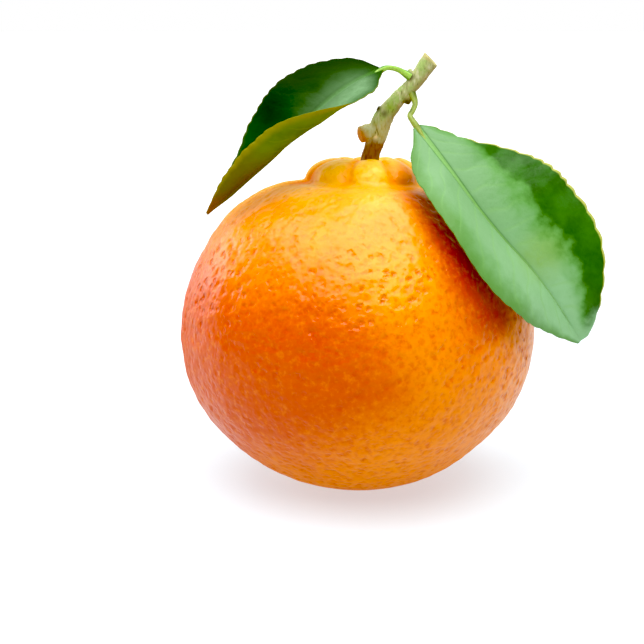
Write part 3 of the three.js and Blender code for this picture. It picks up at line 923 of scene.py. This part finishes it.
tree, shape = new_tree(
    "leaf_veins",
    {
        "Rib width": "Float",
        "Rib groove": "Float",
        "Rib ridge": "Float",
        "Vein count": "Float",
        "Vein sweep": "Float",
        "Vein depth": "Float",
        "Quilting": "Float",
        "Finish": "Material",
    },
)
entry = shape
marks = ("along", "across", "reach", "topside")
along, across, reach, topside = (read(tree, name) for name in marks)
here = Wire.node(tree, "GeometryNodeInputPosition", {}, {})
out = abs(across)
wander = (here.noise(6 * MM, 1) - 0.5) * 0.9
side = across.math("SIGN", across)
phase = (along - out**1.3 * entry.out("Vein sweep")) * entry.out("Vein count") + wander + side * 0.25
from_middle = abs(phase.math("FRACT", phase) * 2 - 1)
spread = out.ramp(0.02, 0.1) * out.ramp(1.0, 0.75) * along.ramp(1.0, 0.9)
shape, vein = stored(shape, "vein", from_middle.ramp(0.78, 1.0) * spread)
width = entry.out("Rib width") * (1 - 0.7 * along)
shape, rib = stored(shape, "rib", (reach / width).ramp(1, 0) * along.ramp(1.0, 0.85))
swell = (1 - from_middle * from_middle) * spread * entry.out("Quilting") - vein * entry.out("Vein depth")
sunk = swell - rib * entry.out("Rib groove")
raised = rib * entry.out("Rib ridge") - swell
shape = pushed(shape, sunk * topside + raised * (1 - topside))
close_tree(shape, entry.out("Finish"))
veins = tree


def leaf_finish(name, top, veined, rib, under, under_vein, edge):
    """A blade's finish: glossy top, dull underside, paler veins and edge."""
    finish, tree, shader, place = new_finish(name)
    top_dark, top_light = top
    patch = place.noise(5 * MM, 3)
    fine = place.noise(0.7 * MM, 3)
    topside = mark(tree, "topside").ramp(0.4, 0.6)
    upper = blend(patch.ramp(0.35, 0.65), top_dark, top_light)
    upper = blend(fine.ramp(0.3, 0.7) * 0.25, upper, top_light)
    upper = blend(mark(tree, "vein") * 0.5, upper, veined)
    upper = blend(mark(tree, "rib").ramp(0.25, 0.7), upper, rib)
    lower = blend(patch.ramp(0.35, 0.65), *under)
    lower = blend((mark(tree, "vein") + mark(tree, "rib")).ramp(0.2, 0.9), lower, under_vein)
    tint = blend(topside, lower, upper)
    tint = blend(abs(mark(tree, "across")).ramp(0.955, 0.985) * 0.8, tint, edge)
    return finish, tree, shader, place, tint, topside, fine


LEFT_TOP = ((24, 66, 20), (36, 80, 28))
LEFT_VEIN = (36, 74, 24)
LEFT_RIB = (50, 96, 32)
LEFT_UNDER = ((90, 112, 34), (106, 126, 38))
LEFT_UNDER_VEIN = (108, 126, 40)
LEFT_UNDER_LOW = (108, 104, 34)
LEFT_SHADE = (12, 42, 10)
LEFT_RIM_BOUNCE = (156, 142, 64)
LEFT_EDGE = (104, 116, 32)
LEFT_PAINTED_SHEEN = (112, 148, 108)
LEFT_TIP = (136, 100, 40)
RIGHT_TOP = ((42, 88, 34), (56, 108, 44))
RIGHT_VEIN = (50, 104, 34)
RIGHT_RIB = (126, 174, 100)
RIGHT_SHEEN_FRINGE = (78, 140, 52)
RIGHT_DIM_SHEEN = (86, 132, 62)
RIGHT_RIB_SHADOW = (50, 104, 38)
RIGHT_UNDER = ((96, 130, 50), (120, 150, 70))
RIGHT_UNDER_VEIN = (150, 176, 96)
RIGHT_EDGE = (190, 190, 96)
RIGHT_PAINTED_SHEEN = (116, 158, 110)
RIGHT_PAINTED_SHEEN_LOW = (140, 184, 136)
RIGHT_TAN = (126, 162, 70)
TAN_SPOT = (33, -15.5, 47)


def dress_leaf(piece, node, finish, tree, shader, tint, topside, fine, gloss, sizes):
    """Joins a blade's colour, gloss and relief to its shader, and raises its veins."""
    tree.links.new(tint.socket, shader["Base Color"])
    tree.links.new((0.6 - 0.3 * topside + 0.08 * fine).socket, shader["Roughness"])
    shader["Specular IOR Level"].default_value = gloss
    embossed(fine, 0.06 * MM, shader)
    settle(piece, veins, {**sizes, "Finish": finish})
    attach(piece, "root")
    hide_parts(node)


sizes = {
    "Rib width": 1.0 * MM,
    "Rib groove": 0.16 * MM,
    "Rib ridge": 0.55 * MM,
    "Vein count": 11.0,
    "Vein sweep": 0.2,
    "Vein depth": 0.02 * MM,
    "Quilting": 0.02 * MM,
}
left_blade = blade_piece("left_blade", LEFT_BLADE)
finish, tree, shader, place, tint, topside, fine = leaf_finish(
    "left_leaf_skin", LEFT_TOP, LEFT_VEIN, LEFT_RIB, LEFT_UNDER, LEFT_UNDER_VEIN, LEFT_EDGE
)
along = mark(tree, "along")
across = mark(tree, "across")
cloud = place.noise(7 * MM, 2) - 0.5
wisp = place.noise(2 * MM, 4, 0.6) - 0.5
shade = (across + cloud * 0.4).ramp(-0.1, 0.8) * (along + cloud * 0.2).ramp(0.75, 0.45)
tint = blend(shade * topside * 0.85, tint, LEFT_SHADE)
# Painted sheen: a pale streak of reflected light on the near half beside the midrib.
sheen = (across + cloud * 0.4 + wisp * 0.3).ramp(0.5, -0.4) * (across + cloud * 0.3).ramp(-1.2, -0.5)
sheen = sheen * along.ramp(0.02, 0.14) * (along + cloud * 0.2).ramp(0.62, 0.3) * topside
tint = blend(sheen * (0.8 + wisp), tint, LEFT_PAINTED_SHEEN)
below = 1 - topside
tint = blend((along + cloud * 0.2).ramp(0.5, 0.78) * below, tint, LEFT_UNDER_LOW)
# Painted light: the near edge of the underside warmed by light reflected from the fruit.
tint = blend((across + wisp * 0.1).ramp(-0.84, -0.99) * below * 0.6, tint, LEFT_RIM_BOUNCE)
tint = blend(along.ramp(0.86, 1.0), tint, LEFT_TIP)
dress_leaf(left_blade, "left_leaf", finish, tree, shader, tint, topside, fine, 0.06, sizes)

right_blade = blade_piece("right_blade", RIGHT_BLADE)
finish, tree, shader, place, tint, topside, fine = leaf_finish(
    "right_leaf_skin", RIGHT_TOP, RIGHT_VEIN, RIGHT_RIB, RIGHT_UNDER, RIGHT_UNDER_VEIN, RIGHT_EDGE
)
along = mark(tree, "along")
across = mark(tree, "across")
cloud = place.noise(8 * MM, 3) - 0.5
wisp = place.noise(2 * MM, 4, 0.6) - 0.5
# Painted sheen: most of the top pale with reflected light, with a softer fringe and a dimmer strip along
# the inner edge. There is no sheen along the outer edge.
inwards = across + cloud * 0.5 + wisp * 0.28 + along.ramp(0.3, 0.1) * 0.5
outer = inwards.ramp(-0.12, -0.6) * (along + wisp * 0.1).ramp(1.0, 0.9)
inner = (across + cloud * 0.3 + wisp * 0.2).ramp(0.5, 1.0) * 0.8
tint = blend(inwards.ramp(-0.62, -0.4) * along.ramp(1.0, 0.92) * topside * 0.9, tint, RIGHT_SHEEN_FRINGE)
tint = blend(inner * topside, tint, RIGHT_DIM_SHEEN)
right_sheen = (1 - outer) * (1 - inner) * topside * (0.94 - 0.25 * wisp)
tint = blend(right_sheen, tint, blend(along.ramp(0.25, 0.85), RIGHT_PAINTED_SHEEN, RIGHT_PAINTED_SHEEN_LOW))
tint = blend(mark(tree, "vein") * topside * (1 - outer) * 0.3, tint, RIGHT_RIB)
tint = blend(place.near(TAN_SPOT, 7) * (0.5 + wisp) * topside, tint, RIGHT_TAN)
rib = mark(tree, "rib") * topside
# Painted shadow: dark green lines along the midrib's flanks.
tint = blend(rib.ramp(0.15, 0.4) * along.ramp(0.8, 0.4) * 0.5, tint, RIGHT_RIB_SHADOW)
tint = blend(rib.ramp(0.45, 0.7) * (0.9 - 0.5 * along), tint, RIGHT_RIB)
dress_leaf(right_blade, "right_leaf", finish, tree, shader, tint, topside, fine, 0.2, sizes)

# Floor
# The white table that the fruit lies on, wide enough to fill the view behind it.
FLOOR_SIZE = 3000
floor = new_piece(
    "table_top",
    [(x * FLOOR_SIZE, y * FLOOR_SIZE, 0) for x, y in ((-1, -1), (1, -1), (1, 1), (-1, 1))],
    [(0, 1, 2, 3)],
)
FLOOR_GREY = (190, 195, 201)
FLOOR_WHITE = (255, 255, 255)
white, tree, shader, place = new_finish("white_table")
away = Wire.node(tree, "ShaderNodeVectorMath", {"operation": "LENGTH"}, {0: place}, out="Value")
shader["Base Color"].default_value = (0.38, 0.42, 0.43, 1)
shader["Roughness"].default_value = 0.6
# The table glows, grey near the fruit and white further out. The glow is painted light that lightens the
# fruit's shadow and lights it from below.
glow = blend(away.ramp(0.1, 0.5), FLOOR_GREY, FLOOR_WHITE)
tree.links.new(glow.socket, shader["Emission Color"])
shader["Emission Strength"].default_value = 1.0
floor.data.materials.append(white)

# Light
# A large soft box overhead, a smaller one behind to the left, and a room that is white behind the
# fruit and dark in front of it.
DARK_SIDE = 0.28
WHITE_SIDE = 0.85
world = bpy.data.worlds.new("studio_room")
world.use_nodes = True
tree = world.node_tree
room = tree.nodes["Background"].inputs
direction = Wire.node(tree, "ShaderNodeTexCoord", {}, {}, out="Generated")
behind = direction.vector("DOT_PRODUCT", (0, 0.85, 0.5), out="Value").ramp(-0.1, 0.55)
seen = Wire.node(tree, "ShaderNodeLightPath", {}, {}, out="Is Camera Ray")
indirect = DARK_SIDE + behind * (WHITE_SIDE - DARK_SIDE)
brightness = indirect.math("MAXIMUM", indirect, seen)
tree.links.new(brightness.socket, room["Strength"])
room["Color"].default_value = (1, 1, 1, 1)
bpy.context.scene.world = world


def soft_box(name, place, aim, width, height, brightness):
    """A flat lamp in millimetres that shines at a point; brightness is that of its face."""
    lamp = bpy.data.lights.new(name, "AREA")
    lamp.shape = "RECTANGLE"
    lamp.size = width * MM
    lamp.size_y = height * MM
    lamp.energy = brightness * math.pi * lamp.size * lamp.size_y
    holder = bpy.data.objects.new(name, lamp)
    bpy.context.scene.collection.objects.link(holder)
    holder.location = [value * MM for value in place]
    back = Vector(place) - Vector(aim)
    holder.rotation_euler = back.to_track_quat("Z", "Y").to_euler()


soft_box("overhead_box", (-30, -200, 480), (-30, -199.9, 0), 640, 720, 3.6)
soft_box("left_box", (-335, 208, 160), (-26, -14, 46), 190, 180, 3.0)

# Camera
# As the picture was taken: a little above the fruit, from the front.
CAMERA_PLACE = (-6.958, -272.12, 94.02)
CAMERA_TILT = math.radians(77)
CAMERA_LENS = 80.54
camera = bpy.data.objects.new("camera", bpy.data.cameras.new("camera"))
camera.data.lens = CAMERA_LENS
camera.data.sensor_width = 36
camera.data.clip_start = 0.01
camera.location = [value * MM for value in CAMERA_PLACE]
camera.rotation_euler = (CAMERA_TILT, 0, 0)
bpy.context.scene.collection.objects.link(camera)
bpy.context.scene.camera = camera
# the darkest red, green and blue of the light that the picture shows as black
BLACK_LEVEL = (0.03, 0.034, 0.05)
picture = bpy.context.scene.view_settings
picture.view_transform = "Standard"
picture.use_curve_mapping = True
picture.curve_mapping.black_level = BLACK_LEVEL
picture.curve_mapping.update()
